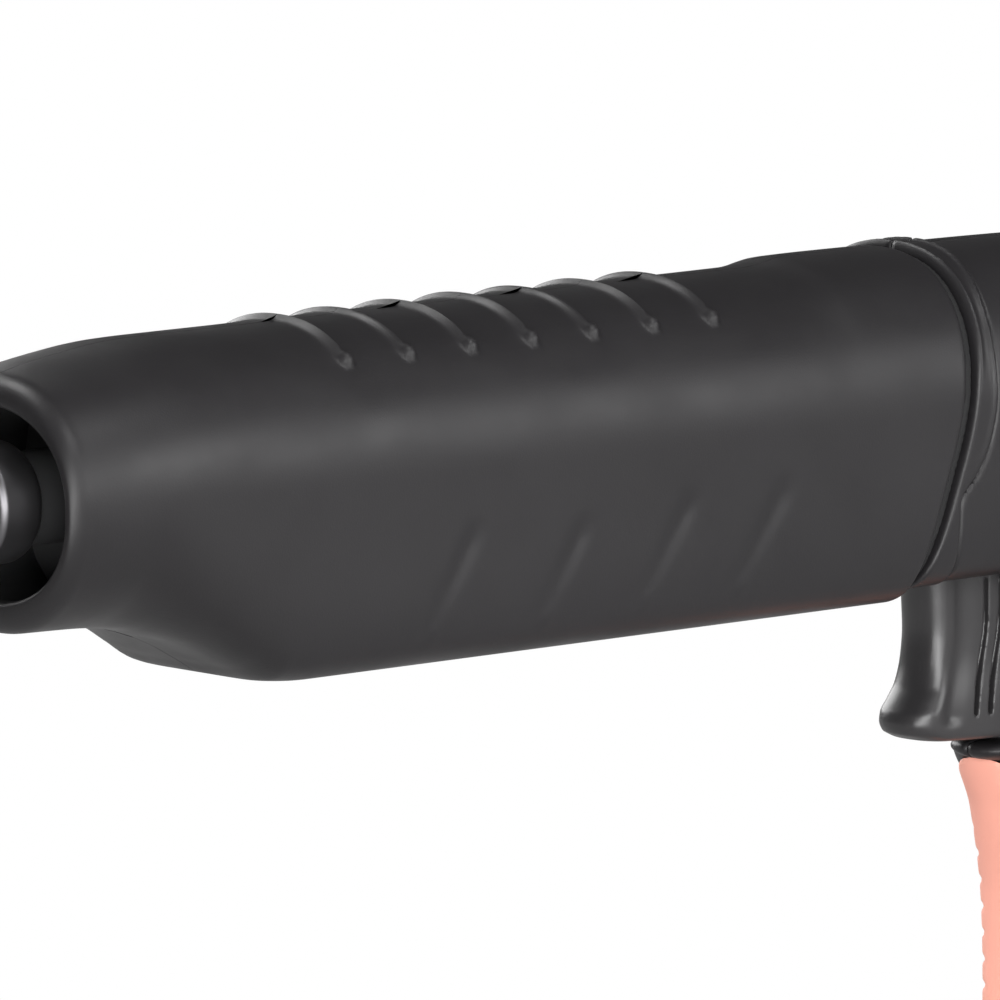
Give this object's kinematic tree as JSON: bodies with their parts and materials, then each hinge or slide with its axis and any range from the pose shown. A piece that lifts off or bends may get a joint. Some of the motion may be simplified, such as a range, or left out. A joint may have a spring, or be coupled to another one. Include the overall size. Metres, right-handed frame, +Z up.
{
  "type": "mig welding torch",
  "caption": "Pistol-grip MIG welding torch with ribbed barrel housing, bent neck, trigger, soft front pad and an enclosed wire drive; cable not included.",
  "frame": {"origin": "middle of the pistol grip, on the torch's middle plane", "axes": "-X towards the nozzle, +Z up, +Y to the operator's right"},
  "size_m": [0.4454, 0.0619, 0.2141],
  "materials": {
    "housing": "fine moulded texture, satin charcoal",
    "black_plastic": "moulded black",
    "orange_grip": "soft-touch overmould, salmon orange",
    "seal": "matt black rubber",
    "trigger": "satin charcoal",
    "switch_button": "glossy red",
    "steel": "machined",
    "neck_metal": "dark satin coat on brass",
    "nozzle_copper": "drawn copper, lightly heat-stained",
    "brass": "machined brass",
    "aluminium": "milled",
    "liner_wire": "wound steel liner",
    "lead_jacket": "insulated power lead"
  },
  "bodies": {
    "root": {"forearm_shell_left": "housing", "forearm_shell_right": "housing", "rear_housing_left": "housing", "rear_housing_right": "housing", "rear_cap": "black_plastic", "nose_bulkhead": "black_plastic", "motor_end_cap": "black_plastic", "motor_cradle": "black_plastic", "switch_body": "black_plastic", "cable_gland": "black_plastic", "gland_nut": "black_plastic", "grip_front_pad": "orange_grip", "seam_gasket": "seal", "gas_hose": "seal", "control_lead": "seal", "body_screw_1": "steel", "body_screw_2": "steel", "body_screw_3": "steel", "rear_screw_1": "steel", "rear_screw_2": "steel", "grip_screw": "steel", "plate_spacer_front": "steel", "plate_spacer_rear": "steel", "pressure_arm_pin": "steel", "spring_seat": "steel", "pressure_spring": "steel", "trigger_pin": "steel", "trigger_spring": "steel", "speed_pot": "steel", "motor_can": "steel", "neck_socket": "brass", "wire_outlet_guide": "brass", "wire_inlet_guide": "brass", "power_lug": "brass", "drive_plate_left": "aluminium", "drive_plate_right": "aluminium", "wire_liner": "liner_wire", "power_lead": "lead_jacket"},
    "neck": {"neck_tube": "neck_metal", "neck_sleeve": "black_plastic", "nozzle_insulator": "black_plastic", "gas_diffuser": "brass", "contact_tip": "nozzle_copper"},
    "nozzle": {"gas_nozzle": "nozzle_copper"},
    "nut": {"neck_nut": "neck_metal"},
    "trigger": {"trigger": "trigger"},
    "plunger": {"switch_plunger": "switch_button"},
    "drive": {"drive_shaft": "steel", "worm_wheel": "brass", "drive_roll": "steel", "drive_roll_collar": "steel"},
    "motor_rotor": {"worm_shaft": "steel"},
    "pressure_arm": {"pressure_arm": "aluminium", "pressure_roll_axle": "steel"},
    "pressure_roll": {"pressure_roll": "steel"},
    "tension": {"tension_shaft": "steel", "tension_knob": "black_plastic"},
    "speed_knob": {"speed_knob": "black_plastic"}
  },
  "joints": [
    {"name": "neck_swivel", "type": "hinge", "parent": "root", "child": "neck", "pos_m": [-0.287, 0, 0.104], "axis": [1, 0, 0], "continuous": true},
    {"name": "nozzle_pull", "type": "slide", "parent": "neck", "child": "nozzle", "axis": [-0.766, 0, -0.6428], "range_m": [0, 0.03]},
    {"name": "neck_nut_turn", "type": "hinge", "parent": "root", "child": "nut", "pos_m": [-0.285, 0, 0.104], "axis": [1, 0, 0], "range_deg": [0, 120]},
    {"name": "trigger_pull", "type": "hinge", "parent": "root", "child": "trigger", "pos_m": [-0.03, 0, 0.0744], "axis": [0, -1, 0], "range_deg": [0, 6], "stiffness_Nm_per_rad": 1.2, "springref_deg": -5.73},
    {"name": "switch_press", "type": "slide", "parent": "root", "child": "plunger", "axis": [1, 0, 0], "range_m": [0, 0.00155]},
    {"name": "drive_spin", "type": "hinge", "parent": "root", "child": "drive", "pos_m": [-0.175, 0, 0.095], "axis": [0, -1, 0], "continuous": true},
    {"name": "motor_spin", "type": "hinge", "parent": "root", "child": "motor_rotor", "pos_m": [-0.175, 0.008, 0.084], "axis": [1, 0, 0], "continuous": true},
    {"name": "pressure_arm_lift", "type": "hinge", "parent": "root", "child": "pressure_arm", "pos_m": [-0.161, 0, 0.116], "axis": [0, 1, 0], "range_deg": [0, 3], "deforming": ["pressure_spring"]},
    {"name": "pressure_roll_spin", "type": "hinge", "parent": "pressure_arm", "child": "pressure_roll", "pos_m": [-0.175, 0, 0.1116], "axis": [0, -1, 0], "continuous": true},
    {"name": "tension_turn", "type": "hinge", "parent": "root", "child": "tension", "pos_m": [-0.195, 0, 0.116], "axis": [0, 1, 0], "range_deg": [0, 90]},
    {"name": "speed_turn", "type": "hinge", "parent": "root", "child": "speed_knob", "pos_m": [0.033, 0, 0.11], "axis": [1, 0, 0], "range_deg": [-135, 135]}
  ],
  "couplings": [
    {"joint": "switch_press", "follows": "trigger_pull", "m_per_rad": 0.0144},
    {"joint": "motor_spin", "follows": "drive_spin", "ratio": 18},
    {"joint": "pressure_roll_spin", "follows": "drive_spin", "ratio": -1.2},
    {"joint": "pressure_arm_lift", "follows": "tension_turn", "ratio": 0.033333}
  ]
}
